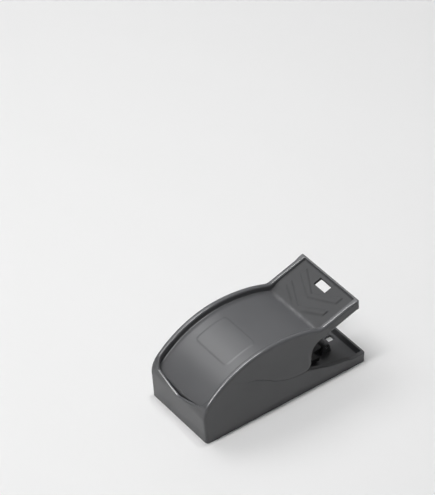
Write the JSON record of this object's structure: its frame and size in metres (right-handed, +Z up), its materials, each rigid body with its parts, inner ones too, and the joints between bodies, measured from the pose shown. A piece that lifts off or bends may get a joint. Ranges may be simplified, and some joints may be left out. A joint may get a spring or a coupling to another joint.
{
  "type": "snap mouse trap",
  "caption": "Closed plastic clamshell mouse trap with a sprung hinged cover, raised handle, wire kill bar, tunnel treadle, bait cup and latch.",
  "frame": {"origin": "middle of the trap's footprint, on the ground", "axes": "+X towards the tail and the handle, +Y to the trap's left seen from its nose, +Z up"},
  "size_m": [0.1284, 0.057, 0.0556],
  "materials": {
    "shell_plastic": "satin",
    "pedal_plastic": "matte",
    "cup_plastic": "satin",
    "steel_pin": "satin",
    "steel_wire": "satin",
    "spring_steel": "satin"
  },
  "bodies": {
    "base": {"base": "shell_plastic", "hinge_pin": "steel_pin", "spacer_left": "pedal_plastic", "spacer_right": "pedal_plastic", "spring_left": "spring_steel", "spring_right": "spring_steel", "pedal_pin": "steel_pin", "latch_pin": "steel_pin", "latch_spring": "spring_steel"},
    "cover": {"cover": "shell_plastic", "kill_bar": "steel_wire"},
    "pedal": {"trip_pedal": "pedal_plastic", "bait_cup": "cup_plastic"},
    "latch": {"latch": "pedal_plastic"}
  },
  "joints": [
    {"name": "cover_hinge", "type": "hinge", "parent": "base", "child": "cover", "pos_m": [-0.05375, 0, 0.024], "axis": [0, -1, 0], "range_deg": [0, 22], "stiffness_Nm_per_rad": 0.4, "springref_deg": -34.38, "deforming": ["spring_left", "spring_right"]},
    {"name": "pedal_hinge", "type": "hinge", "parent": "base", "child": "pedal", "pos_m": [0.04725, 0, 0.0065], "axis": [0, 1, 0], "range_deg": [0, 3]},
    {"name": "latch_hinge", "type": "hinge", "parent": "base", "child": "latch", "pos_m": [-0.05525, 0, 0.005], "axis": [0, -1, 0], "range_deg": [0, 9.1], "stiffness_Nm_per_rad": 0.002, "springref_deg": -28.65, "deforming": ["latch_spring"]}
  ],
  "couplings": [
    {"joint": "latch_hinge", "follows": "pedal_hinge", "ratio": 3.02}
  ]
}
